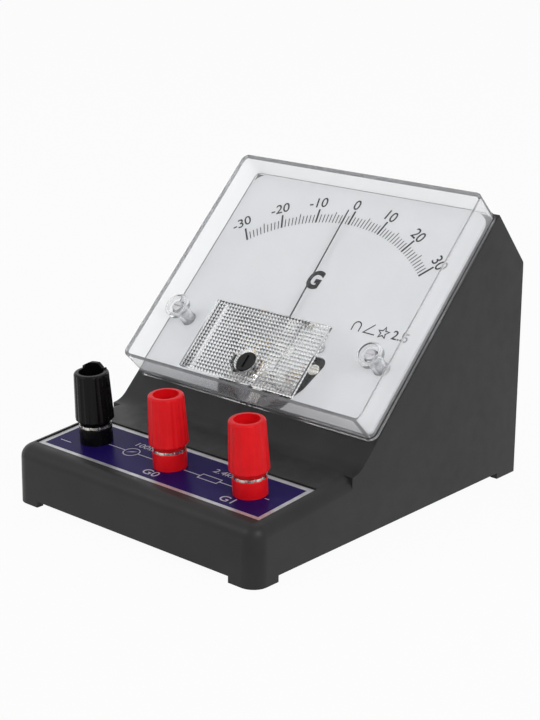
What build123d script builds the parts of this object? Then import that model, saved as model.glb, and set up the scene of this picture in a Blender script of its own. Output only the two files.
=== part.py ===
# Desk galvanometer: wedge-shaped case, hooded dial, moving-coil movement, three screw terminals
import os
from math import atan, cos, degrees, pi, radians, sin, tan

from build123d import *

# Case: millimetres, origin on the bench under the middle of the case, front towards -Y
case_width = 100.0
case_depth = 129.0
front_height = 18.4
deck_depth = 45.6
deck_rise = 3.8
slope_angle = 45.0
slope_length = 94.2
rear_height = 71.3
side_draft = 0.22
rear_draft = 1.2
case_wall = 2.5
front_corner_radius = 5.0
deck_edge_radius = 4.2
deck_blend_radius = 8.0
rear_edge_radius = 2.0
foot_size = 10.0
foot_height = 2.0
block_overlap = 0.5

# Allowances: how far a cut reaches past a face, and the spare depth of a blind screw hole
spare = 1.0
blind_spare = 0.2

# Screw heads: shares of the head's own height or radius
head_round_share = 0.45
head_slot_depth_share = 0.5
head_slot_width_share = 0.28

# Bottom cover and the bosses that take its screws
cover_plate_thickness = 2.0
cover_plate_recess = 0.4
cover_plate_clearance = 0.3
cover_plate_corner = 3.0
boss_radius = 4.0
boss_inset = 6.0
boss_height = 12.0
bottom_screw_radius = 1.25
bottom_screw_length = 9.0
bottom_screw_head = 2.6
bottom_screw_head_height = 1.6

# Label plate in its recess on the deck
label_side_gap = 4.0
label_length = 24.5
label_setback = 5.8
label_thickness = 0.5
label_recess = 1.0
label_clearance = 0.3

# Terminal posts
post_edge_gap = 14.0
stud_radius = 3.0
stud_chamfer = 0.3
thread_clearance = 0.06
socket_radius = 2.02
socket_depth = 7.0
wire_hole_radius = 1.0
collar_radius = 5.15
collar_height = 5.3
collar_spigot_radius = 4.0
collar_spigot_length = 1.9
collar_clearance = 0.1
collar_edge_round = 0.3
ring_radius = 5.0
ring_thickness = 0.8
ring_notches = 12
ring_notch_radius = 0.5
cap_radius_low = 6.0
cap_radius_high = 5.4
cap_height = 16.75
cap_bore_radius = 3.9
cap_bore_depth = 7.0
cap_rim_round = 0.8
cap_foot_inset = 1.5
cap_foot_height = 1.7
cap_flutes = 14
flute_radius = 2.4
flute_depth = 0.13
stud_recess = 7.2
cap_travel = 5.0
burr_height = 1.5
tag_thickness = 0.6
tag_radius = 4.6
tag_width = 2.6
tag_length = 9.5
inner_washer_thickness = 1.0
inner_washer_radius = 5.0
nut_across_flats = 10.0
nut_thickness = 3.0
stud_tail = 1.5

# Wiring under the deck
resistor_radius = 1.4
resistor_length = 7.5
resistor_lead_radius = 0.35
resistor_drop = 2.0
wire_radius = 0.6
wire_drop = 3.0
wire_run_start = 15.0
wire_run_end = 12.0
wire_run_rise = 1.0
wire_shift_share = 0.25
wire_end_length = 9.0

# Clear cover over the dial, measured along the slope from its foot
cover_start = 10.9
cover_end_gap = 0.35
cover_side_gap = 1.0
cover_depth = 11.5
cover_wall = 1.2
cover_corner_radius = 2.4
cover_edge_round = 0.4
cover_rim = 0.5
cover_rim_end = 0.25
cover_rim_height = 1.1
window_width = 46.6
window_start = 12.4
window_length = 25.5
window_rise = 0.9
screw_tube_inset = 9.0
screw_tube_s = 33.0
screw_recess_radius = 3.3
screw_recess_depth = 2.0
screw_recess_wall = 0.9
screw_tube_radius = 2.4
cover_screw_radius = 1.2
cover_screw_head = 1.9
cover_screw_head_height = 1.0
cover_screw_bite = 7.0
screw_clearance = 0.15

# Dial plate
dial_thickness = 0.8
dial_clearance = 0.2
dial_corner_radius = 5.0
cutout_top = 31.5
cutout_half_low = 12.5
cutout_half_mid = 17.7
cutout_half_high = 21.2
cutout_mid = 19.7
cutout_corner = 2.5
cutout_round_radius = 9.5
dial_screw_x = 15.5
dial_screw_rise = 9.4
dial_screw_radius = 0.9
dial_screw_head = 1.7
dial_screw_head_height = 0.8
dial_screw_length = 1.7
dial_rest_inset = 13.0
dial_rest_end_gap = 12.2
dial_rest_radius = 3.0

# Movement frame, magnet and straps. The movement's axis stands square to the slope
axis_s = 24.9
flange_thickness = 1.2
flange_half_width = 20.5
flange_low = 11.0
flange_high = 16.0
flange_corner = 4.0
socket_wall = 1.1
socket_lip = 0.55
socket_lip_thickness = 1.2
socket_clearance = 0.1
case_opening_clearance = 0.15
movement_screw_x = 17.4
movement_screw_rise = 2.0
movement_screw_radius = 1.2
movement_screw_head = 2.0
movement_screw_head_height = 1.1
movement_screw_length = 7.5
screw_boss_wall = 1.6
yoke_inner_radius = 9.5
yoke_outer_radius = 13.2
yoke_height = 12.0
yoke_sink = 1.0
core_radius = 6.4
core_chamfer = 0.3
strap_thickness = 1.2
strap_width = 4.0
strap_end = 12.4
strap_screw_radius = 0.6
strap_screw_head = 0.75
strap_screw_head_height = 0.7
strap_screw_length = 4.0
strap_screw_offset = 11.6
hole_clearance = 0.05

# Moving coil
former_clearance = 0.6
former_thickness = 0.35
former_width = 3.6
former_flange = 0.25
former_end_gap = 0.4
winding_thickness = 1.3
former_corner = 1.0
pivot_base_length = 4.6
pivot_base_width = 3.0
pivot_base_thickness = 0.4
pivot_radius = 0.45
pivot_tip_radius = 0.3
pivot_shoulder_gap = 0.75
hub_offset = 1.05
hub_height = 0.6
hub_radius = 1.6
collet_offset = 2.05
collet_height = 0.8
collet_radius = 1.3
spring_turns = 4
spring_steps = 16
spring_outer_radius = 4.45
spring_thickness = 0.14
spring_height = 0.5
bridge_offset = 3.35
bridge_leg_gap = 0.1
jewel_radius = 1.5
jewel_sink = 0.3
jewel_bore_depth = 0.8
jewel_rise = 1.7
jewel_clearance = 0.05
lock_nut_across_flats = 4.4
lock_nut_thickness = 0.7
slot_width = 0.5
slot_depth = 0.4

# Pointer with its balance weights, and the pegs that stop it
pointer_reach = 59.0
pointer_thickness = 0.4
pointer_width = 0.36
pointer_tip_width = 0.2
pointer_rest_tilt = 1.5
side_arm_length = 6.8
tail_length = 8.2
balance_rod_radius = 0.3
side_weight_radius = 0.6
side_weight_length = 2.0
tail_weight_radius = 0.92
tail_weight_length = 2.6
pointer_swing = 45.0
stop_radius = 0.6
stop_distance = 14.6
stop_gap = 0.15
stop_height = 4.6
stop_depth = 1.0

# Zero adjuster in the window and the regulator arm that it turns
adjuster_s = 19.7
adjuster_radius = 3.5
adjuster_thickness = 1.0
adjuster_well_depth = 1.4
adjuster_well_gap = 0.45
adjuster_lift = 0.05
adjuster_stem_radius = 2.0
adjuster_stem_clearance = 0.05
adjuster_chamfer = 0.35
adjuster_slot_width = 0.9
adjuster_slot_length = 4.4
adjuster_slot_depth = 0.5
clip_radius = 2.9
clip_thickness = 0.5
clip_groove_radius = 1.6
clip_gap = 0.05
clip_mouth_width = 2.6
crank_pin_radius = 0.45
crank_pin_offset = 0.8
regulator_thickness = 0.4
regulator_ring_radius = 2.7
regulator_tail_width = 2.4
regulator_tail_end = 7.3
regulator_tab_width = 1.0
regulator_tab_thickness = 0.6
fork_clearance = 0.08
fork_start = 5.1

# Rear hairspring's anchor on the rear bridge
anchor_width = 1.2
anchor_tail = 5.0
anchor_nub_length = 1.0
anchor_insulator_width = 1.8
anchor_thickness = 0.4
anchor_insulator_thickness = 0.3
bridge_ear_x = 7.0
bridge_ear_width = 3.0
bridge_ear_length = 3.5

# Positions worked out from the sizes above
front_y = -case_depth / 2
rear_y = case_depth / 2
slope_foot_y = front_y + deck_depth
slope_foot_z = front_height + deck_rise
deck_tilt = degrees(atan(deck_rise / deck_depth))
slope_rise = sin(radians(slope_angle))
slope_run = cos(radians(slope_angle))
slope = Plane((0, slope_foot_y, slope_foot_z), x_dir=(1, 0, 0), z_dir=(0, -slope_rise, slope_run))
deck = Plane(
    (0, front_y, front_height),
    x_dir=(1, 0, 0),
    z_dir=(0, -sin(radians(deck_tilt)), cos(radians(deck_tilt))),
)
movement = slope.location * Pos(0, axis_s, 0)
label_width = case_width - 2 * label_side_gap
post_setback = label_setback + label_length / 2
post_spacing = label_width / 2 - post_edge_gap
label_top = label_thickness - label_recess
wall_underside = -case_wall - label_top
tag_floor = wall_underside - inner_washer_thickness - tag_thickness
post_xs = (-post_spacing, 0.0, post_spacing)
cover_plate_z = foot_height + cover_plate_recess
boss_z = cover_plate_z + cover_plate_thickness
cover_length = slope_length - cover_start - cover_end_gap
cover_width = case_width - 2 * (cover_side_gap + slope_length * tan(radians(side_draft)) / 2)
screw_tube_x = cover_width / 2 - screw_tube_inset
dial_rest_x = cover_width / 2 - dial_rest_inset
dial_rest_s = slope_length - dial_rest_end_gap
dial_w = flange_thickness
dial_top = dial_w + dial_thickness
face_inner = cover_depth - cover_wall
window_top = cover_depth + window_rise
well_floor = window_top - adjuster_well_depth
yoke_front = -yoke_sink
yoke_rear = yoke_front - yoke_height
socket_radius_inner = yoke_outer_radius + socket_clearance
socket_radius_outer = socket_radius_inner + socket_wall
strap_front = yoke_front + strap_thickness
strap_rear = yoke_rear - strap_thickness
former_front = strap_front + former_end_gap
former_rear = strap_rear - former_end_gap
former_half = core_radius + former_clearance
coil_front = former_front + former_thickness + winding_thickness
coil_rear = former_rear - former_thickness - winding_thickness
bar_front = coil_front + bridge_offset
bar_rear = coil_rear - bridge_offset
bridge_half = yoke_inner_radius + bridge_leg_gap
adjuster_u = adjuster_s - axis_s
regulator_w = bar_front + strap_thickness + jewel_clearance
hub_w = coil_front + hub_offset + hub_height / 2


# Small helpers
def rod(radius, length):
    return Cylinder(radius, length, align=(Align.CENTER, Align.CENTER, Align.MIN))


def plate(width, length, thickness):
    return Box(width, length, thickness, align=(Align.CENTER, Align.CENTER, Align.MIN))


def outline(points):
    return make_face(Polyline(*points, close=True))


def lengthwise(points, width):
    """A bar of the outline drawn in X and Z, centred on Y."""
    return extrude(Plane.XZ * outline(points), amount=width / 2, both=True)


def rounded_plate(width, length, thickness, radius):
    return extrude(RectangleRounded(width, length, radius), amount=thickness)


def on_slope(x, s, w):
    return slope.location * Pos(x, s, w)


def on_deck(x, t, w):
    return deck.location * Pos(x, t, w)


def nearest(items, point):
    return items.sort_by_distance(point)[0]


def screw(radius, length, head, head_height):
    """Round-headed screw with its seat at Z = 0 and its shank downwards."""
    head_solid = rod(head, head_height)
    head_solid = fillet(head_solid.edges().sort_by(Axis.Z)[-1], head_height * head_round_share)
    groove_floor = head_height * (1 - head_slot_depth_share)
    groove = Pos(0, 0, groove_floor) * plate(2 * head, head * head_slot_width_share, head_height)
    return head_solid - groove + Pos(0, 0, -length) * rod(radius, length + groove_floor / 2)


# Case shell
def between_sides(inset, floor):
    """The space between the two drafted side walls."""
    top = slope_foot_z + slope_length
    low_half = case_width / 2 - inset - floor * tan(radians(side_draft))
    top_half = case_width / 2 - inset - top * tan(radians(side_draft))
    points = [(-low_half, floor), (low_half, floor), (top_half, top), (-top_half, top)]
    return lengthwise(points, 2 * case_depth)


def deck_block(inset, floor):
    """The low front part, with its corners and its deck's edges rounded."""
    back_y = slope_foot_y + 4 * case_wall
    back_z = slope_foot_z + 4 * case_wall * tan(radians(deck_tilt))
    low = floor - inset
    points = [(front_y, low), (front_y, front_height), (back_y, back_z), (back_y, low)]
    profile = outline(points)
    if inset:
        profile = offset(profile, amount=-inset)
    block = extrude(Plane.YZ * profile, amount=case_width, both=True) & between_sides(inset, floor)
    front_edges = block.edges().group_by(Axis.Y)[0].sort_by(Axis.X)
    block = fillet([front_edges[0], front_edges[-1]], front_corner_radius - inset)
    top_edges = block.faces().sort_by(Axis.Z)[-1].edges().sort_by(Axis.Y)[:-1]
    return fillet(top_edges, deck_edge_radius - inset)


def slope_block(inset, floor):
    """The wedge behind the deck, which blends into the deck at its foot."""
    turn = radians(slope_angle - deck_tilt)
    skirt = deck_blend_radius * tan(turn / 2) + block_overlap
    low = floor - inset
    foot = (slope_foot_y, slope_foot_z)
    deck_start = (slope_foot_y - skirt, slope_foot_z - skirt * tan(radians(deck_tilt)))
    apex = (slope_foot_y + slope_length * slope_run, slope_foot_z + slope_length * slope_rise)
    lean = tan(radians(rear_draft))
    rear_edge = (rear_y - rear_height * lean, rear_height)
    points = [(deck_start[0], low), deck_start, foot, apex, rear_edge, (rear_y - low * lean, low)]
    if inset:
        points = [(slope_foot_y, low)] + points[2:]
    profile = outline(points)
    profile = fillet(nearest(profile.vertices(), (*rear_edge, 0)), rear_edge_radius)
    if inset:
        profile = offset(profile, amount=-inset)
    else:
        profile = fillet(nearest(profile.vertices(), (*foot, 0)), deck_blend_radius)
    return extrude(Plane.YZ * profile, amount=case_width, both=True) & between_sides(inset, floor)


def boss_places():
    x = case_width / 2 - boss_inset
    front = front_y + boss_inset + foot_height
    rear = rear_y - boss_inset - foot_height
    return [(-x, front), (x, front), (-x, rear), (x, rear)]


def slope_boss(x, s, screw_radius, bite):
    """A boss inside the slope's wall for a screw that bites so deep."""
    length = bite + screw_boss_wall
    return on_slope(x, s, -case_wall - length) * rod(screw_radius + screw_boss_wall, length + case_wall / 2)


def slope_pilot(x, s, screw_radius, bite):
    depth = case_wall + bite
    return on_slope(x, s, -depth) * rod(screw_radius, depth + spare)


def slope_screws():
    """Where screws enter the slope: x, s, radius and how deep they bite behind the wall."""
    places = []
    for side in (-1, 1):
        places.append((side * screw_tube_x, screw_tube_s, cover_screw_radius, cover_screw_bite))
        bite = movement_screw_length - flange_thickness - case_wall + spare
        rise = axis_s + movement_screw_rise
        places.append((side * movement_screw_x, rise, movement_screw_radius, bite))
    return places


def case_shell():
    outer = deck_block(0, 0) + slope_block(0, 0)
    cavity = deck_block(case_wall, -2 * foot_height) + slope_block(case_wall, -2 * foot_height)
    shell = outer - cavity
    for x, y in boss_places():
        shell += (Pos(x, y, boss_z) * rod(boss_radius, boss_height)) & outer
    for place in slope_screws():
        shell += slope_boss(*place)
    for side in (-1, 1):
        shell += on_slope(side * dial_rest_x, dial_rest_s, -case_wall / 2) * rod(
            dial_rest_radius, case_wall / 2 + dial_w
        )
    for place in slope_screws():
        shell -= slope_pilot(*place)
    for x, y in boss_places():
        shell -= Pos(x, y, boss_z - spare) * rod(bottom_screw_radius, bottom_screw_length)
    opening = socket_radius_outer + case_opening_clearance
    shell -= movement * Pos(0, 0, yoke_rear - case_wall) * rod(opening, yoke_height + 3 * case_wall)
    recess_width = label_width + 2 * label_clearance
    recess_length = label_length + 2 * label_clearance
    shell -= on_deck(0, post_setback, -label_recess) * plate(recess_width, recess_length, 2 * label_recess)
    for x in post_xs:
        hole = collar_spigot_radius + collar_clearance
        shell -= on_deck(x, post_setback, -2 * case_wall) * rod(hole, 3 * case_wall)
    gap_width = case_width - 2 * foot_size
    gap_depth = case_depth - 2 * foot_size
    shell -= plate(gap_width, 2 * case_depth, foot_height)
    shell -= plate(2 * case_width, gap_depth, foot_height)
    return shell


# Bottom cover, held by four screws
def bottom_cover():
    room = case_wall + cover_plate_clearance
    lean = boss_z * tan(radians(rear_draft))
    width = case_width - 2 * room
    length = case_depth - 2 * room - lean
    body = rounded_plate(width, length, cover_plate_thickness, cover_plate_corner)
    body = Pos(0, -lean / 2, cover_plate_z) * body
    for x, y in boss_places():
        body -= Pos(x, y, 0) * rod(bottom_screw_radius + screw_clearance, 2 * boss_z)
    return body


def bottom_screws():
    shank = bottom_screw_length - screw_clearance
    one = screw(bottom_screw_radius, shank, bottom_screw_head, bottom_screw_head_height)
    return [Pos(x, y, cover_plate_z) * Rot(180, 0, 0) * one for x, y in boss_places()]


# Label plate with holes for the three posts
def label_plate():
    body = on_deck(0, post_setback, -label_recess) * plate(label_width, label_length, label_thickness)
    for x in post_xs:
        hole = collar_spigot_radius + collar_clearance
        body -= on_deck(x, post_setback, -2 * label_recess) * rod(hole, 3 * label_recess)
    return body


# Terminal posts, each modelled upwards from the label's top face
def collar():
    body = rod(collar_radius, collar_height)
    body = fillet(body.edges().sort_by(Axis.Z)[-1], collar_edge_round)
    body += Pos(0, 0, -collar_spigot_length) * rod(collar_spigot_radius, collar_spigot_length + spare)
    bore = stud_radius + hole_clearance
    return body - Pos(0, 0, -2 * collar_spigot_length) * rod(bore, collar_height + 3 * collar_spigot_length)


def cap_base():
    return collar_height + ring_thickness + thread_clearance


def stud():
    top = cap_base() + cap_height - stud_recess
    floor = tag_floor - nut_thickness - stud_tail
    body = Pos(0, 0, floor) * rod(stud_radius, top - floor)
    body = chamfer(body.edges().sort_by(Axis.Z)[-1], stud_chamfer)
    body -= Pos(0, 0, top - socket_depth) * rod(socket_radius, socket_depth + spare)
    hole = Pos(0, 0, collar_height + cap_travel / 2) * Rot(0, 90, 0)
    return body - hole * Cylinder(wire_hole_radius, 4 * stud_radius)


def clamp_ring():
    bore = stud_radius + thread_clearance
    body = rod(ring_radius, ring_thickness) - rod(bore, ring_thickness)
    notch = Pos(ring_radius + ring_notch_radius / 2, 0, 0) * rod(ring_notch_radius, ring_thickness)
    for n in range(ring_notches):
        body -= Rot(0, 0, n * 360 / ring_notches) * notch
    return Pos(0, 0, collar_height) * body


def cap():
    lean = degrees(atan((cap_radius_low - cap_radius_high) / cap_height))
    points = [
        (0, 0),
        (cap_radius_low - cap_foot_inset, 0),
        (cap_radius_low, cap_foot_height),
        (cap_radius_high, cap_height),
        (0, cap_height),
    ]
    body = revolve(Plane.XZ * outline(points), Axis.Z)
    body = fillet(body.edges().group_by(Axis.Z)[-1], cap_rim_round)
    cutter = Pos(cap_radius_low + flute_radius - flute_depth, 0, 0) * Rot(0, -lean, 0)
    cutter = cutter * Pos(0, 0, -spare) * rod(flute_radius, cap_height + 2 * spare)
    for n in range(cap_flutes):
        body -= Rot(0, 0, n * 360 / cap_flutes) * cutter
    body -= Pos(0, 0, -spare) * rod(stud_radius + thread_clearance, cap_height + 2 * spare)
    body -= Pos(0, 0, cap_height - cap_bore_depth) * rod(cap_bore_radius, cap_bore_depth + spare)
    return Pos(0, 0, cap_base()) * body


def rim_burr():
    """The torn moulding that stands up from one side of the black cap's rim."""
    foot = cap_base() + cap_height - cap_rim_round
    height = cap_rim_round + burr_height
    wall = cap_radius_high - cap_rim_round / 2
    lip = Pos(0, 0, foot) * (rod(wall, height) - rod(cap_bore_radius, height))
    side = cap_radius_high
    crest = foot + height
    points = [
        (-side, foot),
        (-side, foot + height * 0.45),
        (-side * 0.62, crest),
        (-side * 0.2, crest - height * 0.08),
        (side * 0.12, foot + height * 0.3),
        (side * 0.36, foot + height * 0.55),
        (side * 0.5, foot),
    ]
    keep = Pos(0, side / 2 + cap_bore_radius / 4, 0) * lengthwise(points, side)
    return lip & keep


def terminal(x, make):
    return on_deck(x, post_setback, label_top) * make()


def inner_washer():
    bore = stud_radius + hole_clearance
    body = rod(inner_washer_radius, inner_washer_thickness) - rod(bore, inner_washer_thickness)
    return Pos(0, 0, wall_underside - inner_washer_thickness) * body


def solder_tag():
    body = rod(tag_radius, tag_thickness)
    body += Pos(0, tag_length / 2, 0) * plate(tag_width, tag_length, tag_thickness)
    body -= rod(stud_radius + hole_clearance, tag_thickness)
    return Pos(0, 0, tag_floor) * body


def terminal_nut():
    hexagon = RegularPolygon(nut_across_flats / 2, 6, major_radius=False)
    body = extrude(hexagon, amount=nut_thickness) - rod(stud_radius + hole_clearance, nut_thickness)
    return Pos(0, 0, tag_floor - nut_thickness) * body


# Resistor between the middle and right tags, and the two wires to the movement
def tag_point(x, reach, drop):
    """A point so far along a solder tag's tail, and so far below it."""
    at = on_deck(x, post_setback, label_top) * Pos(0, reach, tag_floor - drop)
    return at.position


def round_wire(points, radius, bends):
    path = FilletPolyline(*points, radius=bends)
    start = Plane(path @ 0, z_dir=path % 0)
    return sweep(start * Circle(radius), path=path)


def resistor():
    reach = tag_length - 2 * resistor_lead_radius
    left = tag_point(0, reach, 0)
    right = tag_point(post_spacing, reach, 0)
    left_low = tag_point(0, reach, resistor_drop)
    right_low = tag_point(post_spacing, reach, resistor_drop)
    leads = round_wire([left, left_low, right_low, right], resistor_lead_radius, 3 * resistor_lead_radius)
    body = Cylinder(resistor_radius, resistor_length)
    body = fillet(body.edges(), resistor_radius * 0.4)
    middle = (left_low + right_low) / 2
    return leads + Location(middle) * Rot(0, 90, 0) * body


def movement_point(x, u, w):
    return (movement * Pos(x, u, w)).position


def lead_wire(start_x, end_x, end_u, end_w):
    reach = nut_across_flats / 2 + 3 * wire_radius
    start = tag_point(start_x, reach, 0)
    below = tag_point(start_x, reach, wire_drop)
    end = movement_point(end_x, end_u, end_w)
    near_end = movement_point(end_x, end_u, end_w - wire_end_length)
    shift = (end_x - start.X) * wire_shift_share
    low_z = boss_z + 4 * wire_radius
    points = [
        start,
        below,
        Vector(start.X + shift, start.Y + wire_run_start, low_z),
        Vector(end_x - shift, near_end.Y - wire_run_end, low_z + wire_run_rise),
        near_end,
        end,
    ]
    return round_wire(points, wire_radius, 3 * wire_radius)


# Clear cover with its foot rim, its raised window, the adjuster's well and its screw tubes
def cover_space(inset, rise, radius):
    width = cover_width - 2 * inset
    length = cover_length - 2 * inset
    body = rounded_plate(width, length, rise, radius)
    return on_slope(0, cover_start + cover_length / 2, 0) * body


def clear_cover():
    body = cover_space(0, cover_depth, cover_corner_radius)
    top_edges = body.faces().sort_by(Axis(slope.origin, slope.z_dir))[-1].edges()
    body = fillet(top_edges, cover_edge_round)
    rim_width = cover_width + 2 * cover_rim
    rim_length = cover_length + cover_rim + cover_rim_end
    rim = rounded_plate(rim_width, rim_length, cover_rim_height, cover_corner_radius + cover_rim)
    body += on_slope(0, cover_start - cover_rim + rim_length / 2, 0) * rim
    body -= cover_space(cover_wall, face_inner, cover_corner_radius - cover_wall)
    middle = window_start + window_length / 2
    pad = plate(window_width, window_length, window_rise + spare)
    body += on_slope(0, middle, cover_depth - spare) * pad
    for side in (-1, 1):
        foot = on_slope(side * screw_tube_x, screw_tube_s, 0)
        floor = cover_depth - screw_recess_depth
        cup = screw_recess_radius + screw_recess_wall
        cup_floor = floor - screw_recess_wall
        body += foot * Pos(0, 0, cup_floor) * rod(cup, cover_depth - cover_wall / 2 - cup_floor)
        body += foot * rod(screw_tube_radius, floor)
        body -= foot * Pos(0, 0, floor) * rod(screw_recess_radius, screw_recess_depth + spare)
        body -= foot * Pos(0, 0, -spare) * rod(cover_screw_radius + screw_clearance, cover_depth)
    well = adjuster_radius + adjuster_well_gap
    body -= on_slope(0, adjuster_s, well_floor) * rod(well, cover_depth)
    hole = adjuster_stem_radius + adjuster_stem_clearance
    body -= on_slope(0, adjuster_s, face_inner - spare) * rod(hole, cover_depth)
    return body


def cover_screws():
    seat = cover_depth - screw_recess_depth
    length = seat + case_wall + cover_screw_bite - screw_clearance
    one = screw(cover_screw_radius, length, cover_screw_head, cover_screw_head_height)
    return [on_slope(side * screw_tube_x, screw_tube_s, seat) * one for side in (-1, 1)]


# Dial plate with the cut-out that clears the movement
def dial_plate():
    edge = cover_wall + dial_clearance
    width = cover_width - 2 * edge
    low = cover_start + edge
    high = cover_start + cover_length - edge
    sheet = Pos(0, (low + high) / 2) * Rectangle(width, high - low)
    top_corners = sheet.vertices().group_by(Axis.Y)[-1]
    sheet = fillet(top_corners, dial_corner_radius)
    low_corners = sheet.vertices().group_by(Axis.Y)[0]
    sheet = fillet(low_corners, cover_corner_radius - cover_wall)
    points = [
        (cutout_half_low, low - spare),
        (cutout_half_mid, cutout_mid),
        (cutout_half_high, cutout_top),
        (-cutout_half_high, cutout_top),
        (-cutout_half_mid, cutout_mid),
        (-cutout_half_low, low - spare),
    ]
    cutout = outline(points)
    corners = cutout.vertices().group_by(Axis.Y)[-1]
    sheet -= fillet(corners, cutout_corner)
    sheet -= Pos(0, axis_s) * Circle(cutout_round_radius)
    for side in (-1, 1):
        sheet -= Pos(side * screw_tube_x, screw_tube_s) * Circle(screw_tube_radius + screw_clearance)
        screw_s = axis_s + dial_screw_rise
        sheet -= Pos(side * dial_screw_x, screw_s) * Circle(dial_screw_radius + screw_clearance)
        sheet -= Pos(*stop_place(side)) * Circle(stop_radius + hole_clearance)
    return slope.location * Pos(0, 0, dial_w) * extrude(sheet, amount=dial_thickness)


def dial_screws():
    one = screw(dial_screw_radius, dial_screw_length, dial_screw_head, dial_screw_head_height)
    return [on_slope(side * dial_screw_x, axis_s + dial_screw_rise, dial_top) * one for side in (-1, 1)]


def stop_angle():
    reach = stop_radius + pointer_width / 2 + stop_gap
    return radians(pointer_swing) + reach / stop_distance


def stop_place(side):
    x = side * stop_distance * sin(stop_angle())
    s = axis_s + stop_distance * cos(stop_angle())
    return x, s


def pointer_stops():
    length = stop_height - dial_w + stop_depth
    peg = rod(stop_radius, length)
    peg = fillet(peg.edges().sort_by(Axis.Z)[-1], stop_radius * 0.6)
    return [on_slope(*stop_place(side), dial_w - stop_depth) * peg for side in (-1, 1)]


# Movement frame. From here the movement is drawn with Z along its axis and Z = 0 on the slope
def movement_frame():
    flange = rounded_plate(2 * flange_half_width, flange_low + flange_high, flange_thickness, flange_corner)
    body = Pos(0, (flange_high - flange_low) / 2, 0) * flange
    floor = yoke_rear - socket_lip_thickness
    body += Pos(0, 0, floor) * rod(socket_radius_outer, -floor)
    body -= Pos(0, 0, yoke_rear) * rod(socket_radius_inner, flange_thickness - yoke_rear)
    body -= Pos(0, 0, floor - spare) * rod(yoke_outer_radius - socket_lip, 2 * socket_lip_thickness)
    for side in (-1, 1):
        x = side * movement_screw_x
        hole = rod(movement_screw_radius + screw_clearance, 3 * flange_thickness)
        body -= Pos(x, movement_screw_rise, -flange_thickness) * hole
        pilot = rod(dial_screw_radius, flange_thickness)
        body -= Pos(side * dial_screw_x, dial_screw_rise, blind_spare) * pilot
        x, s = stop_place(side)
        body -= Pos(x, s - axis_s, dial_w - stop_depth) * rod(stop_radius, 2 * stop_depth)
    return body


def movement_screws():
    one = screw(
        movement_screw_radius, movement_screw_length, movement_screw_head, movement_screw_head_height
    )
    places = [(side * movement_screw_x, movement_screw_rise) for side in (-1, 1)]
    return [Pos(x, u, flange_thickness) * one for x, u in places]


def yoke_ring():
    body = rod(yoke_outer_radius, yoke_height) - rod(yoke_inner_radius, yoke_height)
    for side in (-1, 1):
        through = rod(strap_screw_radius + hole_clearance, yoke_height)
        body -= Pos(side * strap_screw_offset, 0, 0) * through
        blind = strap_screw_length - strap_thickness + blind_spare
        pilot = rod(strap_screw_radius, blind)
        body -= Pos(0, side * strap_screw_offset, 0) * pilot
        body -= Pos(0, side * strap_screw_offset, yoke_height - blind) * pilot
    return Pos(0, 0, yoke_rear) * body


def core_magnet():
    body = rod(core_radius, yoke_height)
    return Pos(0, 0, yoke_rear) * chamfer(body.edges().filter_by(GeomType.CIRCLE), core_chamfer)


def core_strap():
    body = plate(strap_width, 2 * strap_end, strap_thickness)
    for side in (-1, 1):
        hole = rod(strap_screw_radius + hole_clearance, strap_thickness)
        body -= Pos(0, side * strap_screw_offset, 0) * hole
    return body


def front_core_strap():
    return Pos(0, 0, yoke_front) * core_strap()


def rear_core_strap():
    return Pos(0, 0, strap_rear) * core_strap()


def strap_screws():
    one = screw(strap_screw_radius, strap_screw_length, strap_screw_head, strap_screw_head_height)
    front = [Pos(0, side * strap_screw_offset, strap_front) * one for side in (-1, 1)]
    rear = [Pos(0, side * strap_screw_offset, strap_rear) * Rot(180, 0, 0) * one for side in (-1, 1)]
    return front + rear


def bridge(foot, bar, way):
    """A bent strap over one end of the coil, with feet on the yoke ring."""
    leg = bridge_half + strap_thickness
    foot_top = foot + way * strap_thickness
    bar_top = bar + way * strap_thickness
    right = [(leg, bar_top), (leg, foot_top), (strap_end, foot_top), (strap_end, foot)]
    right += [(bridge_half, foot), (bridge_half, bar)]
    left = [(-x, z) for x, z in reversed(right)]
    body = lengthwise(right + left, strap_width)
    for side in (-1, 1):
        hole = Cylinder(strap_screw_radius + hole_clearance, 3 * strap_thickness)
        body -= Pos(side * strap_screw_offset, 0, foot) * hole
    return body - Pos(0, 0, bar) * Cylinder(jewel_radius + hole_clearance / 2, 4 * strap_thickness)


def front_bridge():
    return bridge(yoke_front, bar_front, 1)


def rear_bridge():
    ear = plate(bridge_ear_width, bridge_ear_length + spare, strap_thickness)
    ear_u = -(strap_width + bridge_ear_length - spare) / 2
    return bridge(yoke_rear, bar_rear, -1) + Pos(bridge_ear_x, ear_u, bar_rear - strap_thickness) * ear


def bridge_screws():
    length = yoke_height + 2 * strap_thickness
    one = screw(strap_screw_radius, length, strap_screw_head, strap_screw_head_height)
    return [Pos(side * strap_screw_offset, 0, strap_front) * one for side in (-1, 1)]


def jewel_screw():
    """Drawn upwards from the inner face of the bridge's bar."""
    length = strap_thickness + jewel_rise - jewel_sink
    body = rod(jewel_radius, length) - rod(pivot_tip_radius + jewel_clearance, jewel_bore_depth)
    body -= Pos(0, 0, length - slot_depth) * plate(3 * jewel_radius, slot_width, slot_depth)
    return Pos(0, 0, jewel_sink) * body


def lock_nut():
    hexagon = RegularPolygon(lock_nut_across_flats / 2, 6, major_radius=False)
    body = extrude(hexagon, amount=lock_nut_thickness)
    return body - rod(jewel_radius + hole_clearance / 2, lock_nut_thickness)


def front_jewel_screw():
    return Pos(0, 0, bar_front) * jewel_screw()


def rear_jewel_screw():
    return Pos(0, 0, bar_rear) * Rot(180, 0, 0) * jewel_screw()


def jewel_lock_nuts():
    front = regulator_w + regulator_thickness + jewel_clearance
    rear = bar_rear - strap_thickness
    return [Pos(0, 0, front) * lock_nut(), Pos(0, 0, rear) * Rot(180, 0, 0) * lock_nut()]


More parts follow.
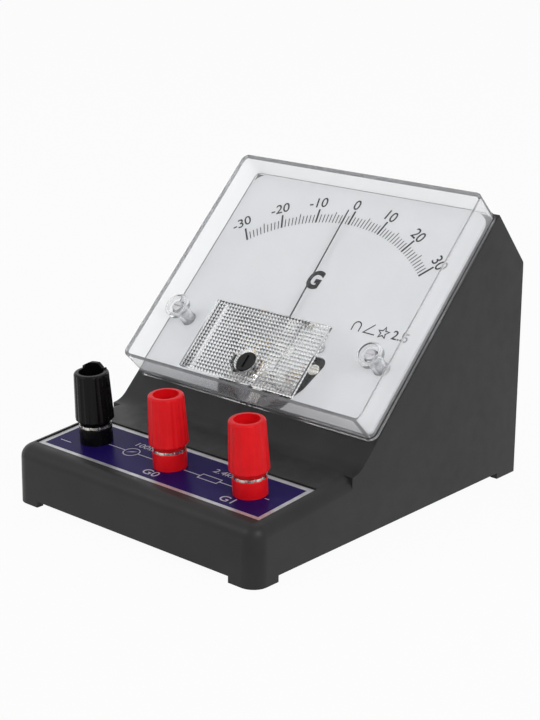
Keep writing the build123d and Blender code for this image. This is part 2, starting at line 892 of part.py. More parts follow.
# Coil, pivots and hairsprings
def loop_plate(half, front, rear, corner, width):
    shape = Pos(0, (front + rear) / 2) * RectangleRounded(2 * half, front - rear, corner)
    return extrude(Plane.XZ * shape, amount=width / 2, both=True)


def coil_loop(grow, corner, width):
    """A plate the shape of the coil's opening, grown outwards by so much."""
    return loop_plate(former_half + grow, former_front + grow, former_rear - grow, corner, width)


def coil_former():
    thick = former_thickness
    outer = thick + winding_thickness
    room = former_width - 2 * former_flange
    band = coil_loop(thick, former_corner + thick, former_width)
    cheeks = coil_loop(outer, former_corner + outer, former_width)
    cheeks -= coil_loop(outer + spare, former_corner, room)
    return band + cheeks - coil_loop(0, former_corner, 2 * former_width)


def coil_winding():
    thick = former_thickness
    outer = thick + winding_thickness
    room = former_width - 2 * former_flange
    body = coil_loop(outer, former_corner + outer, room)
    return body - coil_loop(thick, former_corner + thick, former_width)


def pivot():
    """Drawn upwards from the coil's end turn."""
    shaft = bridge_offset + jewel_sink - pivot_shoulder_gap
    body = plate(pivot_base_length, pivot_base_width, pivot_base_thickness)
    body += rod(pivot_radius, shaft)
    body += Pos(0, 0, collet_offset) * rod(collet_radius, collet_height)
    tip_top = bridge_offset + jewel_sink + jewel_bore_depth - 2 * jewel_clearance
    return body + rod(pivot_tip_radius, tip_top)


def front_pivot():
    return Pos(0, 0, coil_front) * pivot()


def rear_pivot():
    return Pos(0, 0, coil_rear) * Rot(180, 0, 0) * pivot()


def hairspring(end_angle):
    """A flat spiral ribbon whose outer end points at end_angle."""
    count = spring_turns * spring_steps
    inner_radius = collet_radius + spring_thickness
    growth = spring_outer_radius - inner_radius
    ribbon = []
    for side in (-1, 1):
        edge = []
        for n in range(count + 1):
            angle = radians(end_angle) - 2 * pi * (count - n) / spring_steps
            radius = inner_radius + growth * n / count + side * spring_thickness / 2
            edge.append((radius * cos(angle), radius * sin(angle)))
        ribbon.append(edge)
    shape = outline(ribbon[0] + ribbon[1][::-1])
    return extrude(shape, amount=spring_height)


def spring_lift():
    return collet_offset + (collet_height - spring_height) / 2


def front_hairspring():
    return Pos(0, 0, coil_front + spring_lift()) * hairspring(-90)


def rear_hairspring():
    return Pos(0, 0, coil_rear - spring_lift() - spring_height) * hairspring(180)


# Pointer, with a cross of thin rods for the balance weights
def pointer():
    half = pointer_width / 2
    tip = pointer_tip_width / 2
    points = [(-half, 0), (half, 0), (tip, pointer_reach), (-tip, pointer_reach)]
    needle = Pos(0, 0, hub_w - pointer_thickness / 2) * extrude(outline(points), amount=pointer_thickness)
    hub = Pos(0, 0, hub_w - hub_height / 2) * rod(hub_radius, hub_height)
    tail = Pos(0, 0, hub_w) * Rot(90, 0, 0) * rod(balance_rod_radius, tail_length)
    side_arms = Pos(0, 0, hub_w) * Rot(0, 90, 0) * Cylinder(balance_rod_radius, 2 * side_arm_length)
    bore = Pos(0, 0, hub_w - hub_height) * rod(pivot_radius + hole_clearance / 2, 2 * hub_height)
    return Rot(0, 0, pointer_rest_tilt) * (needle + hub + tail + side_arms - bore)


def weight(radius, length):
    return rod(radius, length) - rod(balance_rod_radius + hole_clearance / 2, length)


def balance_weights():
    side_start = side_arm_length - side_weight_length
    tail_start = tail_length - tail_weight_length
    side_weight = weight(side_weight_radius, side_weight_length)
    tail_weight = weight(tail_weight_radius, tail_weight_length)
    right = Pos(side_start, 0, hub_w) * Rot(0, 90, 0) * side_weight
    left = Pos(-side_start, 0, hub_w) * Rot(0, -90, 0) * side_weight
    tail = Pos(0, -tail_start, hub_w) * Rot(90, 0, 0) * tail_weight
    return [Rot(0, 0, pointer_rest_tilt) * piece for piece in (left, right, tail)]


# Zero adjuster and what it moves
def zero_adjuster():
    disc_floor = well_floor + adjuster_lift
    disc = rod(adjuster_radius, adjuster_thickness)
    disc = chamfer(disc.edges().sort_by(Axis.Z)[-1], adjuster_chamfer)
    slot = plate(adjuster_slot_width, adjuster_slot_length, adjuster_slot_depth)
    disc -= Pos(0, 0, adjuster_thickness - adjuster_slot_depth) * slot
    stem_floor = face_inner - clip_gap - 2 * clip_thickness
    body = Pos(0, 0, disc_floor) * disc
    body += Pos(0, 0, stem_floor) * rod(adjuster_stem_radius, disc_floor - stem_floor)
    groove_floor = face_inner - clip_gap - clip_thickness
    groove = rod(2 * adjuster_stem_radius, clip_thickness) - rod(clip_groove_radius, clip_thickness)
    body -= Pos(0, 0, groove_floor) * groove
    pin_floor = regulator_w - jewel_clearance * 4
    pin = rod(crank_pin_radius, stem_floor - pin_floor)
    body += Pos(0, -crank_pin_offset, pin_floor) * pin
    return Pos(0, adjuster_u, 0) * body


def adjuster_clip():
    groove_floor = face_inner - clip_gap - clip_thickness
    inner = clip_groove_radius + hole_clearance / 2
    body = rod(clip_radius, clip_thickness) - rod(inner, clip_thickness)
    mouth = plate(clip_mouth_width, 2 * clip_radius, clip_thickness)
    body -= Pos(0, clip_radius, 0) * mouth
    return Pos(0, adjuster_u, groove_floor) * body


def regulator_arm():
    body = rod(regulator_ring_radius, regulator_thickness)
    tail = plate(regulator_tail_width, regulator_tail_end, regulator_thickness)
    body += Pos(0, -regulator_tail_end / 2, 0) * tail
    body -= rod(jewel_radius + jewel_clearance, regulator_thickness)
    fork = 2 * (crank_pin_radius + fork_clearance)
    fork_length = regulator_tail_end - fork_start + spare
    body -= Pos(0, -fork_start - fork_length / 2, 0) * plate(fork, fork_length, regulator_thickness)
    tab_floor = coil_front + spring_lift()
    tab_u = -spring_outer_radius - spring_thickness / 2 - hole_clearance - regulator_tab_thickness / 2
    tab = plate(regulator_tab_width, regulator_tab_thickness, regulator_w - tab_floor)
    return Pos(0, 0, regulator_w) * body + Pos(0, tab_u, tab_floor) * tab


# Anchor of the rear hairspring, insulated from the bridge
def anchor_x():
    return -spring_outer_radius - spring_thickness / 2 - hole_clearance - anchor_width / 2


def rear_spring_anchor():
    floor = bar_rear + anchor_insulator_thickness
    length = anchor_tail + anchor_nub_length
    body = plate(anchor_width, length, anchor_thickness)
    body = Pos(anchor_x(), anchor_nub_length - length / 2, floor) * body
    nub = plate(anchor_width, anchor_nub_length, coil_rear - spring_lift() - floor)
    return body + Pos(anchor_x(), 0, floor) * nub


def anchor_insulator():
    body = plate(anchor_insulator_width, strap_width, anchor_insulator_thickness)
    return Pos(anchor_x(), 0, bar_rear) * body


# All nodes: those of the movement are placed together, the rest are already in place
anchor_end = anchor_nub_length - anchor_tail
anchor_floor = bar_rear + anchor_insulator_thickness
ear_end = -(strap_width + bridge_ear_length) / 2

nodes = {
    "case_shell": case_shell(),
    "bottom_cover": bottom_cover(),
    "bottom_screws": bottom_screws(),
    "label_plate": label_plate(),
    "clear_cover": clear_cover(),
    "cover_screws": cover_screws(),
    "dial_plate": dial_plate(),
    "dial_screws": dial_screws(),
    "pointer_stops": pointer_stops(),
    "resistor": resistor(),
    "left_lead_wire": lead_wire(-post_spacing, anchor_x(), anchor_end, anchor_floor),
    "middle_lead_wire": lead_wire(0, bridge_ear_x, ear_end, bar_rear - strap_thickness),
}

for side_name, post_x in zip(("left", "middle", "right"), post_xs):
    for piece_name, maker in (("collar", collar), ("stud", stud), ("clamp_ring", clamp_ring), ("cap", cap)):
        nodes[f"{side_name}_{piece_name}"] = terminal(post_x, maker)
nodes["left_cap"] = nodes["left_cap"] + terminal(-post_spacing, rim_burr)

for group_name, maker in (
    ("terminal_washers", inner_washer),
    ("solder_tags", solder_tag),
    ("terminal_nuts", terminal_nut),
):
    nodes[group_name] = [terminal(x, maker) for x in post_xs]

for maker in (
    movement_frame,
    movement_screws,
    yoke_ring,
    core_magnet,
    front_core_strap,
    rear_core_strap,
    strap_screws,
    front_bridge,
    rear_bridge,
    bridge_screws,
    front_jewel_screw,
    rear_jewel_screw,
    jewel_lock_nuts,
    coil_former,
    coil_winding,
    front_pivot,
    rear_pivot,
    front_hairspring,
    rear_hairspring,
    pointer,
    balance_weights,
    zero_adjuster,
    adjuster_clip,
    regulator_arm,
    rear_spring_anchor,
    anchor_insulator,
):
    made = maker()
    solids = made if isinstance(made, list) else [made]
    nodes[maker.__name__] = [movement * solid for solid in solids]

os.makedirs("parts", exist_ok=True)
for node_name, shape in nodes.items():
    shapes = shape if isinstance(shape, list) else [shape]
    solids = [solid for item in shapes for solid in item.solids()]
    whole = solids[0] if len(solids) == 1 else Compound(children=solids)
    export_step(whole, f"parts/{node_name}.step")
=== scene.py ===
"""Looks for the galvanometer: camera, studio, materials and the printing on its dial and label."""

from math import atan2, cos, pi, radians, sin

import bpy
from mathutils import Matrix, Vector


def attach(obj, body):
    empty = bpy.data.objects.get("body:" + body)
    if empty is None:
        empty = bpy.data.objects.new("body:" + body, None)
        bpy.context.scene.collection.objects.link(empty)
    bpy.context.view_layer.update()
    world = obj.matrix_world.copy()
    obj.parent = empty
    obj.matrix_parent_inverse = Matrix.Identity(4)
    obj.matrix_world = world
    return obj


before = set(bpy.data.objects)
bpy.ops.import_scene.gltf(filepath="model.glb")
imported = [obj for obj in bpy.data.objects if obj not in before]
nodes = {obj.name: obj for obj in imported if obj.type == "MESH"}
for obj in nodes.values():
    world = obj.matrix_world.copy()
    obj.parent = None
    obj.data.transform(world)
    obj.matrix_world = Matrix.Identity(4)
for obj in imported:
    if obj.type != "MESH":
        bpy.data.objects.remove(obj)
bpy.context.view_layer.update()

MM = 0.001

# Places in the part's frame, in millimetres: the slope that carries the dial and the deck with the label
SLOPE_TILT = radians(45)
SLOPE = Matrix.Translation((0, -18.9, 22.2)) @ Matrix.Rotation(SLOPE_TILT, 4, "X")
DECK_TILT = atan2(3.8, 45.6)
DECK = Matrix.Translation((0, -64.5, 18.4)) @ Matrix.Rotation(DECK_TILT, 4, "X")
DIAL_TOP = 2.0
AXIS_S = 24.9
WINDOW_TOP = 12.4
WINDOW_WIDTH = 46.6
WINDOW_START = 12.4
WINDOW_LENGTH = 25.5
ADJUSTER_S = 19.7
WELL_RADIUS = 3.95
LABEL_TOP = -0.5
LABEL_MID = 18.05
POST_SPACING = 32.0
INK_LIFT = 0.02

# Camera, from a fit to the photo: angles in degrees, the point looked at and its distance in millimetres
CAMERA_AZIMUTH = 40.93
CAMERA_ELEVATION = 16.97
CAMERA_ROLL = 0.91
CAMERA_TARGET = (2.17, -4.5, 43.48)
CAMERA_DISTANCE = 502.94
FOCAL_LENGTH_PIXELS = 1614.95
FRAME_HEIGHT_PIXELS = 720
SENSOR_WIDTH = 36.0


def place(plane, x, y, z, turn=0.0):
    """A matrix in metres for something drawn in millimetres at a point of a plane."""
    at = plane @ Matrix.Translation((x, y, z)) @ Matrix.Rotation(turn, 4, "Z")
    return Matrix.Scale(MM, 4) @ at


# Camera at the photograph's place
def add_camera():
    azimuth, elevation, roll = (radians(a) for a in (CAMERA_AZIMUTH, CAMERA_ELEVATION, CAMERA_ROLL))
    target = Vector(CAMERA_TARGET) * MM
    back = Vector((sin(azimuth) * cos(elevation), -cos(azimuth) * cos(elevation), sin(elevation)))
    right = Vector((cos(azimuth), sin(azimuth), 0))
    up = back.cross(right)
    right_rolled = right * cos(roll) + up * sin(roll)
    up_rolled = up * cos(roll) - right * sin(roll)
    data = bpy.data.cameras.new("camera")
    data.sensor_width = SENSOR_WIDTH
    data.lens = FOCAL_LENGTH_PIXELS / FRAME_HEIGHT_PIXELS * SENSOR_WIDTH
    camera = bpy.data.objects.new("camera", data)
    bpy.context.scene.collection.objects.link(camera)
    turn = Matrix((right_rolled, up_rolled, back)).transposed().to_4x4()
    camera.matrix_world = Matrix.Translation(target + back * CAMERA_DISTANCE * MM) @ turn
    bpy.context.scene.camera = camera


# Helpers for shader nodes
def math_node(tree, operation, *values):
    """A Math node whose inputs are numbers or the outputs of other nodes."""
    node = tree.nodes.new("ShaderNodeMath")
    node.operation = operation
    for socket, value in zip(node.inputs, values):
        if isinstance(value, (int, float)):
            socket.default_value = value
        else:
            tree.links.new(value, socket)
    return node.outputs[0]


def mix_shaders(tree, share, first, second):
    """The first shader, with that share of the second."""
    mix = tree.nodes.new("ShaderNodeMixShader")
    for socket, output in zip(mix.inputs, (share, first, second)):
        tree.links.new(output, socket)
    return mix.outputs[0]


# Studio: pale floor, white surroundings and three soft lamps
def seen_white(tree, plain, white, strength):
    """Shows a share of plain white to the camera, mirrors and glass, and leaves the light alone."""
    ray = tree.nodes.new("ShaderNodeLightPath").outputs
    seen = math_node(tree, "MAXIMUM", ray["Is Camera Ray"], ray["Is Glossy Ray"])
    seen = math_node(tree, "MAXIMUM", seen, ray["Is Transmission Ray"])
    return mix_shaders(tree, math_node(tree, "MULTIPLY", seen, strength), plain, white)


def add_studio():
    world = bpy.data.worlds.new("studio")
    bpy.context.scene.world = world
    world.use_nodes = True
    tree = world.node_tree
    output = tree.nodes["World Output"]
    ambient = tree.nodes["Background"]
    ambient.inputs["Color"].default_value = (1, 1, 1, 1)
    ambient.inputs["Strength"].default_value = 0.26
    white = tree.nodes.new("ShaderNodeBackground")
    white.inputs["Color"].default_value = (1, 1, 1, 1)
    white.inputs["Strength"].default_value = 1.0
    look = seen_white(tree, ambient.outputs[0], white.outputs[0], 1.0)
    tree.links.new(look, output.inputs["Surface"])

    bpy.ops.mesh.primitive_plane_add(size=6)
    floor = bpy.context.object
    floor.name = "floor"
    material = bpy.data.materials.new("floor")
    material.use_nodes = True
    tree = material.node_tree
    surface = tree.nodes["Principled BSDF"]
    surface.inputs["Base Color"].default_value = (0.82, 0.82, 0.82, 1)
    surface.inputs["Roughness"].default_value = 0.9
    glow = tree.nodes.new("ShaderNodeEmission")
    look = seen_white(tree, surface.outputs[0], glow.outputs[0], 0.95)
    tree.links.new(look, tree.nodes["Material Output"].inputs["Surface"])
    floor.data.materials.append(material)

    for name, spot, size, power in (
        ("key_lamp", (-0.55, -1.15, 0.80), 0.7, 3.7),
        ("fill_lamp", (1.1, -0.35, 0.6), 0.7, 6.0),
        ("top_lamp", (-0.1, 0.35, 1.2), 0.8, 1.4),
    ):
        data = bpy.data.lights.new(name, "AREA")
        data.size = size
        data.energy = power
        lamp = bpy.data.objects.new(name, data)
        bpy.context.scene.collection.objects.link(lamp)
        direction = Vector((0, 0, 0.04)) - Vector(spot)
        lamp.rotation_euler = direction.to_track_quat("-Z", "Y").to_euler()
        lamp.location = spot


# Materials
def new_material(name, color, roughness, **values):
    material = bpy.data.materials.new(name)
    material.use_nodes = True
    surface = material.node_tree.nodes["Principled BSDF"]
    surface.inputs["Base Color"].default_value = (*color, 1)
    surface.inputs["Roughness"].default_value = roughness
    for key, value in values.items():
        surface.inputs[key.replace("_", " ")].default_value = value
    return material


def noise(tree, scale, detail=3.0, stretch=(1, 1, 1)):
    """A noise that sits still on the object, with its scale in waves per metre."""
    where = tree.nodes.new("ShaderNodeTexCoord")
    mapping = tree.nodes.new("ShaderNodeMapping")
    mapping.inputs["Scale"].default_value = stretch
    tree.links.new(where.outputs["Object"], mapping.inputs["Vector"])
    cloud = tree.nodes.new("ShaderNodeTexNoise")
    cloud.inputs["Scale"].default_value = scale
    cloud.inputs["Detail"].default_value = detail
    tree.links.new(mapping.outputs[0], cloud.inputs["Vector"])
    return cloud.outputs["Fac"]


def vary(material, socket, low, high, scale, detail=3.0, stretch=(1, 1, 1)):
    """Lets a value or colour wander between two others over the surface."""
    tree = material.node_tree
    surface = tree.nodes["Principled BSDF"]
    ramp = tree.nodes.new("ShaderNodeValToRGB")
    ramp.color_ramp.elements[0].position = 0.35
    ramp.color_ramp.elements[1].position = 0.65
    for element, value in zip(ramp.color_ramp.elements, (low, high)):
        element.color = (*value, 1) if isinstance(value, tuple) else (value, value, value, 1)
    tree.links.new(noise(tree, scale, detail, stretch), ramp.inputs["Fac"])
    tree.links.new(ramp.outputs["Color"], surface.inputs[socket])


def roughen(material, height, scale, detail=2.0, stretch=(1, 1, 1)):
    """A bump of that height in metres."""
    tree = material.node_tree
    bump = tree.nodes.new("ShaderNodeBump")
    bump.inputs["Strength"].default_value = 1.0
    bump.inputs["Distance"].default_value = height
    tree.links.new(noise(tree, scale, detail, stretch), bump.inputs["Height"])
    tree.links.new(bump.outputs["Normal"], tree.nodes["Principled BSDF"].inputs["Normal"])


def milky_walls(tree, clear, share):
    """Mixes some white into faces that stand across the slope: painted light for the brightness that the
    clear walls and round edges catch, none on the flat top.
    """
    across = tree.nodes.new("ShaderNodeVectorMath")
    across.operation = "DOT_PRODUCT"
    across.inputs[1].default_value = SLOPE.col[2].xyz
    tree.links.new(tree.nodes.new("ShaderNodeNewGeometry").outputs["Normal"], across.inputs[0])
    flat = math_node(tree, "ABSOLUTE", across.outputs["Value"])
    painted_light_share = math_node(tree, "MULTIPLY_ADD", flat, -share, share)
    # painted light: a white diffuse shader on the walls and round edges that stand across the slope, none
    # on the hood's flat top
    white = tree.nodes.new("ShaderNodeBsdfDiffuse")
    white.inputs["Color"].default_value = (0.85, 0.86, 0.88, 1)
    return mix_shaders(tree, painted_light_share, clear, white.outputs[0])


def glass(name, color, roughness, ior, wall_painted_light):
    """Clear plastic that lets the lamps' light through to what it covers."""
    material = new_material(
        name, color, roughness, Transmission_Weight=1.0, IOR=ior, Specular_IOR_Level=0.3
    )
    tree = material.node_tree
    look = milky_walls(tree, tree.nodes["Principled BSDF"].outputs[0], wall_painted_light)
    shadow = tree.nodes.new("ShaderNodeLightPath").outputs["Is Shadow Ray"]
    clear = tree.nodes.new("ShaderNodeBsdfTransparent")
    clear.inputs["Color"].default_value = (0.96, 0.965, 0.97, 1)
    look = mix_shaders(tree, shadow, look, clear.outputs[0])
    tree.links.new(look, tree.nodes["Material Output"].inputs["Surface"])
    return material


def make_materials():
    made = {}
    case = new_material("case_plastic", (0.025, 0.025, 0.026), 0.42, Specular_IOR_Level=0.22)
    vary(case, "Base Color", (0.022, 0.022, 0.023), (0.028, 0.028, 0.029), 60)
    vary(case, "Roughness", 0.36, 0.46, 240)
    roughen(case, 0.00002, 2600)
    made["case"] = case

    cap = new_material("black_cap_plastic", (0.003, 0.003, 0.0033), 0.28, Specular_IOR_Level=0.14)
    vary(cap, "Roughness", 0.24, 0.34, 400)
    roughen(cap, 0.00001, 1500)
    made["black"] = cap

    red = new_material("red_plastic", (0.90, 0.007, 0.013), 0.34, Specular_IOR_Level=0.18)
    vary(red, "Base Color", (0.85, 0.006, 0.012), (0.95, 0.009, 0.015), 150)
    vary(red, "Roughness", 0.30, 0.42, 400)
    roughen(red, 0.00001, 1500)
    made["red"] = red

    tint = (0.985, 0.988, 0.99)
    # the hood's walls and round edges get painted light in white, the window prisms only a trace
    made["clear"] = glass("clear_plastic", tint, 0.0, ior=1.3, wall_painted_light=0.18)
    made["prisms"] = glass("window_prisms", tint, 0.0, ior=1.47, wall_painted_light=0.04)

    silver = new_material("label_silver", (0.56, 0.56, 0.58), 0.35, Metallic=0.6)
    vary(silver, "Base Color", (0.50, 0.50, 0.53), (0.62, 0.62, 0.64), 300)
    made["silver"] = silver

    blue = new_material("label_blue", (0.014, 0.006, 0.10), 0.3, Specular_IOR_Level=0.05)
    vary(blue, "Base Color", (0.012, 0.005, 0.09), (0.017, 0.008, 0.115), 90)
    made["blue"] = blue

    print_white = new_material("white_print", (0.66, 0.64, 0.72), 0.4)
    vary(print_white, "Base Color", (0.50, 0.48, 0.60), (0.74, 0.73, 0.78), 1400)
    made["white_print"] = print_white

    dial = new_material("dial_paint", (0.53, 0.535, 0.55), 0.5)
    vary(dial, "Base Color", (0.515, 0.52, 0.535), (0.545, 0.55, 0.565), 35)
    roughen(dial, 0.000006, 3000)
    made["dial"] = dial

    ink = new_material("black_print", (0.008, 0.008, 0.009), 0.5, Specular_IOR_Level=0.1)
    vary(ink, "Base Color", (0.006, 0.006, 0.007), (0.016, 0.016, 0.017), 1200)
    made["ink"] = ink

    needle = new_material("needle_lacquer", (0.02, 0.02, 0.022), 0.3)
    vary(needle, "Roughness", 0.25, 0.4, 900)
    made["needle"] = needle

    inner = new_material("frame_plastic", (0.006, 0.006, 0.007), 0.3, Specular_IOR_Level=0.25)
    vary(inner, "Roughness", 0.25, 0.38, 300)
    roughen(inner, 0.00001, 2000)
    made["inner_black"] = inner

    for name, color, roughness in (
        ("nickel", (0.66, 0.64, 0.60), 0.18),
        ("steel", (0.55, 0.55, 0.57), 0.30),
        ("brass", (0.72, 0.50, 0.20), 0.26),
        ("aluminium", (0.74, 0.75, 0.77), 0.30),
        ("copper", (0.70, 0.25, 0.12), 0.30),
        ("bronze", (0.62, 0.36, 0.14), 0.30),
        ("iron", (0.23, 0.23, 0.24), 0.45),
        ("magnet", (0.13, 0.13, 0.14), 0.5),
    ):
        metal = new_material(name, color, roughness, Metallic=1.0)
        dark = tuple(c * 0.88 for c in color)
        light = tuple(min(1, c * 1.08) for c in color)
        vary(metal, "Base Color", dark, light, 500)
        vary(metal, "Roughness", roughness * 0.8, roughness * 1.3, 900)
        if name == "copper":
            roughen(metal, 0.00008, 1, 0, (9000, 400, 400))
        else:
            roughen(metal, 0.000006, 2500)
        made[name] = metal

    for name, color, roughness in (
        ("fibre", (0.22, 0.05, 0.02), 0.6),
        ("resistor_body", (0.55, 0.42, 0.24), 0.4),
        ("wire_sleeve", (0.5, 0.02, 0.015), 0.4),
    ):
        plain = new_material(name, color, roughness)
        vary(plain, "Base Color", tuple(c * 0.85 for c in color), tuple(c * 1.1 for c in color), 500)
        roughen(plain, 0.00001, 2000)
        made[name] = plain
    return made


NODE_MATERIALS = {
    "case": "case_shell bottom_cover",
    "clear": "clear_cover",
    "silver": "label_plate",
    "dial": "dial_plate",
    "needle": "pointer",
    "inner_black": "movement_frame zero_adjuster",
    "black": "left_collar left_cap",
    "red": "middle_collar right_collar middle_cap right_cap",
    "nickel": "left_stud middle_stud right_stud left_clamp_ring middle_clamp_ring right_clamp_ring "
    "terminal_nuts movement_screws front_core_strap rear_core_strap front_bridge rear_bridge "
    "front_jewel_screw regulator_arm",
    "steel": "bottom_screws cover_screws dial_screws strap_screws bridge_screws front_pivot "
    "rear_pivot adjuster_clip",
    "brass": "pointer_stops rear_jewel_screw jewel_lock_nuts rear_spring_anchor solder_tags "
    "balance_weights",
    "iron": "yoke_ring",
    "magnet": "core_magnet",
    "aluminium": "coil_former",
    "copper": "coil_winding",
    "bronze": "front_hairspring rear_hairspring",
    "fibre": "anchor_insulator terminal_washers",
    "resistor_body": "resistor",
    "wire_sleeve": "left_lead_wire middle_lead_wire",
}


def dress_nodes(materials):
    dressed = set()
    for key, names in NODE_MATERIALS.items():
        for name in names.split():
            slots = nodes[name].material_slots
            if not slots:
                nodes[name].data.materials.append(materials[key])
            for slot in nodes[name].material_slots:
                slot.material = materials[key]
            dressed.add(name)
    assert dressed == set(nodes), dressed ^ set(nodes)


# Pyramids moulded on the hood's window, in rows that leave the adjuster's well free
def window_pattern(materials):
    pitch, height, sunk = 1.27, 0.55, 0.03
    free_radius = WELL_RADIUS + 0.6 * pitch
    columns = int(WINDOW_WIDTH / pitch)
    rows = int(WINDOW_LENGTH / pitch)
    start_x = -columns * pitch / 2
    start_s = WINDOW_START + (WINDOW_LENGTH - rows * pitch) / 2
    corners, faces = [], []
    for row in range(rows):
        for column in range(columns):
            x = start_x + column * pitch
            s = start_s + row * pitch
            if Vector((x + pitch / 2, s + pitch / 2 - ADJUSTER_S)).length < free_radius:
                continue
            first = len(corners)
            base = [(x, s), (x + pitch, s), (x + pitch, s + pitch), (x, s + pitch)]
            corners += [(a, b, -sunk) for a, b in base]
            corners.append((x + pitch / 2, s + pitch / 2, height))
            faces.append((first + 3, first + 2, first + 1, first))
            faces += [(first + n, first + (n + 1) % 4, first + 4) for n in range(4)]
    mesh = bpy.data.meshes.new("window_pattern")
    mesh.from_pydata(corners, [], faces)
    mesh.materials.append(materials["prisms"])
    shape = bpy.data.objects.new("window_pattern", mesh)
    bpy.context.scene.collection.objects.link(shape)
    shape.matrix_world = place(SLOPE, 0, 0, WINDOW_TOP)
    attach(shape, "chassis")


# Printing, drawn flat in millimetres as closed outlines
def flat_shape(name, loops, matrix, material, thickness=0.012):
    """Closed outlines filled where they don't lie in one another, as a skin on a surface."""
    curve = bpy.data.curves.new(name, "CURVE")
    curve.dimensions = "2D"
    curve.fill_mode = "BOTH"
    curve.extrude = thickness
    for loop in loops:
        spline = curve.splines.new("POLY")
        spline.points.add(len(loop) - 1)
        for point, (x, y) in zip(spline.points, loop):
            point.co = (x, y, 0, 1)
        spline.use_cyclic_u = True
    curve.materials.append(material)
    shape = bpy.data.objects.new(name, curve)
    bpy.context.scene.collection.objects.link(shape)
    shape.matrix_world = matrix
    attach(shape, "chassis")
    return shape


def text(name, words, height, matrix, material, weight=0.0, shear=0.0, wide=1.0, spacing=1.0):
    """A word whose capitals stand so high, centred on its place."""
    curve = bpy.data.curves.new(name, "FONT")
    curve.body = words
    curve.size = height / 0.73
    curve.align_x = "CENTER"
    curve.align_y = "CENTER"
    curve.extrude = 0.012
    curve.offset = weight
    curve.shear = shear
    curve.space_character = spacing
    curve.resolution_u = 6
    curve.materials.append(material)
    shape = bpy.data.objects.new(name, curve)
    bpy.context.scene.collection.objects.link(shape)
    shape.matrix_world = matrix @ Matrix.Diagonal((wide, 1, 1, 1))
    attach(shape, "chassis")
    return shape


def rectangle(x, y, width, height):
    a, b = width / 2, height / 2
    return [(x - a, y - b), (x + a, y - b), (x + a, y + b), (x - a, y + b)]


def circle(x, y, radius, steps=48):
    turns = [2 * pi * n / steps for n in range(steps)]
    return [(x + radius * cos(turn), y + radius * sin(turn)) for turn in turns]


def ring(x, y, radius, width):
    return [circle(x, y, radius + width / 2), circle(x, y, radius - width / 2)]


def offset_line(points, shift, closed):
    """The line moved sideways, with mitred corners."""
    count = len(points)
    moved = []
    for n, point in enumerate(points):
        here = Vector(point)
        before = Vector(points[n - 1]) if closed or n else None
        after = Vector(points[(n + 1) % count]) if closed or n < count - 1 else None
        sides = []
        for start, end in ((before, here), (here, after)):
            if start is not None and end is not None:
                run = (end - start).normalized()
                sides.append(Vector((-run.y, run.x)))
        side = sum(sides, Vector((0, 0))) / len(sides)
        moved.append(tuple(here + side * shift / max(side.length_squared, 0.2)))
    return moved


def ribbon(points, width, closed=False):
    left = offset_line(points, width / 2, closed)
    right = offset_line(points, -width / 2, closed)
    return [left, right] if closed else [left + right[::-1]]


def tick(angle, inner, outer, width):
    """A mark across the scale, at an angle clockwise from twelve o'clock."""
    out = Vector((sin(angle), cos(angle)))
    side = Vector((cos(angle), -sin(angle))) * width / 2
    corners = (out * inner - side, out * inner + side, out * outer + side, out * outer - side)
    return [tuple(corner) for corner in corners]


# The scale: one unit's angle, and radii from the pointer's axis
UNIT_ANGLE = radians(1.35)
TICK_INNER = 54.4
TICK_SHORT = 57.6
TICK_MIDDLE = 58.6
TICK_LONG = 59.8
TICK_WIDTH = 0.32
TICK_WIDTH_LONG = 0.66
NUMERAL_RADIUS = 62.0
NUMERAL_HEIGHT = 3.9
NUMERAL_SHIFT = -0.6
NUMERAL_SHIFT_MINUS = -1.2


def print_dial(materials):
    ink = materials["ink"]
    on_dial = DIAL_TOP + INK_LIFT
    marks = []
    for unit in range(-30, 31):
        outer, width = TICK_SHORT, TICK_WIDTH
        if unit % 10 == 0:
            outer, width = TICK_LONG, TICK_WIDTH_LONG
        elif unit % 5 == 0:
            outer = TICK_MIDDLE
        marks.append(tick(unit * UNIT_ANGLE, TICK_INNER, outer, width))
    flat_shape("scale_marks", marks, place(SLOPE, 0, AXIS_S, on_dial), ink)
    for unit in range(-30, 31, 10):
        angle = unit * UNIT_ANGLE
        x = NUMERAL_RADIUS * sin(angle) + (NUMERAL_SHIFT_MINUS if unit < 0 else NUMERAL_SHIFT)
        at = place(SLOPE, x, AXIS_S + NUMERAL_RADIUS * cos(angle), on_dial, -angle)
        name = f"numeral_{unit}".replace("-", "minus_")
        text(name, str(unit), NUMERAL_HEIGHT, at, ink, weight=0.04)
    at = place(SLOPE, -0.7, 56.9, on_dial)
    text("letter_g", "G", 6.6, at, ink, weight=0.42, shear=0.1, wide=0.84)
    x, s, half, width = 23.9, 43.1, 1.4, 0.42
    arch = [(x - half, s), (x - half, s + 1.9)]
    arch += [(x - half * cos(pi * n / 12), s + 1.9 + half * sin(pi * n / 12)) for n in range(1, 12)]
    arch += [(x + half, s + 1.9), (x + half, s)]
    marks = ribbon(arch, width)
    marks += ribbon([(x + 6.2, s + 3.6), (x + 3.2, s + 0.2), (x + 7.5, s + 0.1)], width)
    star = []
    for n in range(10):
        reach = 2.1 if n % 2 == 0 else 0.9
        star.append((x + 10.3 + reach * sin(n * pi / 5), s + 1.5 + reach * cos(n * pi / 5)))
    marks += ribbon(star, width, closed=True)
    flat_shape("dial_symbols", marks, place(SLOPE, 0, 0, on_dial), ink)
    at = place(SLOPE, x + 16.3, s + 1.5, on_dial)
    text("accuracy_number", "2.5", 3.3, at, ink, weight=0.05)


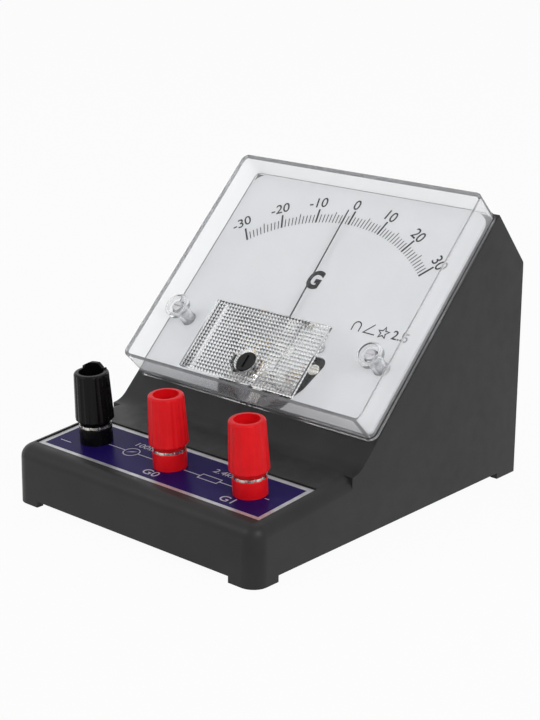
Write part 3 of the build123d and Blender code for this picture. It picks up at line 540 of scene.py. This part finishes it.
def print_label(materials):
    blue, white = materials["blue"], materials["white_print"]
    top = LABEL_TOP + INK_LIFT
    hole_radius = 4.1
    holes = [circle(x, 0, hole_radius) for x in (-POST_SPACING, 0, POST_SPACING)]
    field = [rectangle(0, 0, 88.4, 20.9)] + holes
    flat_shape("label_field", field, place(DECK, 0, LABEL_MID, top), blue)
    over_field = top + 0.03
    at = place(DECK, 0, LABEL_MID, over_field)
    meter_x, meter_radius, resistor_x, resistor_width, resistor_height = -16.6, 2.6, 16.0, 7.8, 3.0
    line, border, post_edge = 0.32, 0.3, 5.6
    meter_edge = meter_radius + border
    resistor_edge = resistor_width / 2 + 0.05
    marks = ring(meter_x, 0, meter_radius, border)
    for start, end in (
        (-POST_SPACING + post_edge, meter_x - meter_edge),
        (meter_x + meter_edge, -post_edge),
        (post_edge, resistor_x - resistor_edge),
        (resistor_x + resistor_edge, POST_SPACING - post_edge),
    ):
        marks += ribbon([(start, 0), (end, 0)], line)
    marks.append(rectangle(resistor_x, 0, resistor_width, resistor_height))
    marks.append(rectangle(resistor_x, 0, resistor_width - 2 * border, resistor_height - 2 * border))
    marks.append([(meter_x - 1.5, -0.9), (meter_x + 0.3, 0.1), (meter_x + 1.5, 1.1), (meter_x - 0.2, 0.35)])
    marks.append(rectangle(-POST_SPACING - 7.6, -6.0, 4.6, 0.34))
    marks.append(rectangle(POST_SPACING + 6.6, -0.4, 1.6, 0.26))
    flat_shape("label_circuit", marks, at, white)
    for name, words, x, y, height in (
        ("coil_value", "100Ω", meter_x + 1.0, 5.1, 2.5),
        ("resistor_value", "2.4kΩ", resistor_x + 2.0, 5.1, 2.5),
        ("first_range", "G0", -1.0, -7.4, 3.2),
        ("second_range", "G1", POST_SPACING - 2.0, -7.4, 3.2),
    ):
        spot = place(DECK, x, LABEL_MID + y, over_field)
        text(name, words, height, spot, white, wide=1.15)


# Making the scene
add_camera()
add_studio()
palette = make_materials()
dress_nodes(palette)
window_pattern(palette)
print_dial(palette)
print_label(palette)

scene = bpy.context.scene
scene.view_settings.view_transform = "Standard"
bpy.context.view_layer.update()
